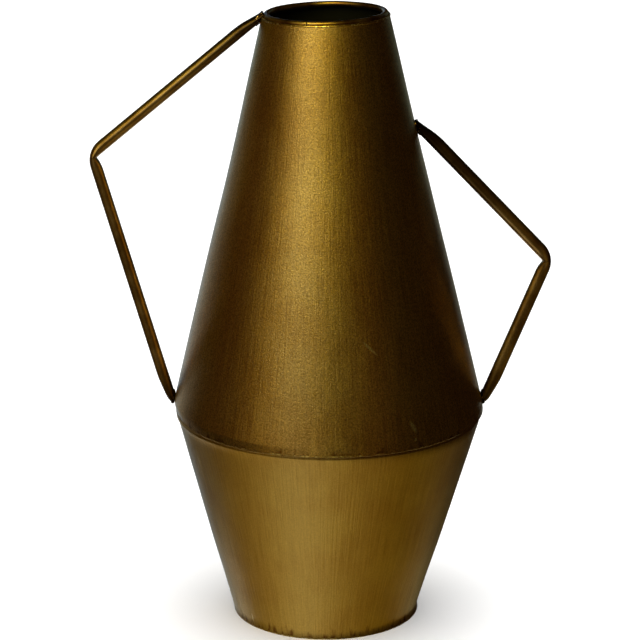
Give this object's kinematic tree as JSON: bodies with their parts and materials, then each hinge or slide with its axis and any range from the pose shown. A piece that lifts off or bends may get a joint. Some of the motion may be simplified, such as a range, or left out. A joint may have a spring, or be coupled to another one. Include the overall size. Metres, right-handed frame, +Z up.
{
  "type": "vase",
  "caption": "Tall urn vase of thin antique-brass sheet: a long narrow cone joined to a short upturned cone, with a rod-ringed mouth and kinked tube handles set at different heights.",
  "frame": {"origin": "centre of the underside, on the axis of the two cones", "axes": "+Z up along the axis of the cones; the handles lie in the XZ plane, the high one on -X and the low one on +X; -Y is the front"},
  "size_m": [0.3099, 0.2117, 0.42],
  "materials": {
    "body_brass": "antique brass sheet, brushed along its length, patchy brown patina under clear lacquer",
    "handle_brass": "antique brass tube, drawn, brown patina rubbed bright along its upper side",
    "rim_brass": "antique brass rod, rubbed bright on top",
    "pan_brass": "dull brown-patinated brass sheet",
    "seam_solder": "lumpy brazing metal, wiped bright on its crests and dark between them",
    "braze_copper": "copper-pink brazing metal, left as it ran"
  },
  "bodies": {
    "root": {"upper_cone": "body_brass", "lower_cone": "body_brass", "upper_side_seam": "seam_solder", "lower_side_seam": "seam_solder", "waist_solder": "seam_solder", "base_solder": "seam_solder", "base_pan": "pan_brass", "rim_ring": "rim_brass", "rim_braze": "braze_copper", "left_handle": "handle_brass", "right_handle": "handle_brass", "left_top_weld": "braze_copper", "left_bottom_weld": "braze_copper", "right_top_weld": "braze_copper", "right_bottom_weld": "braze_copper"}
  },
  "joints": []
}
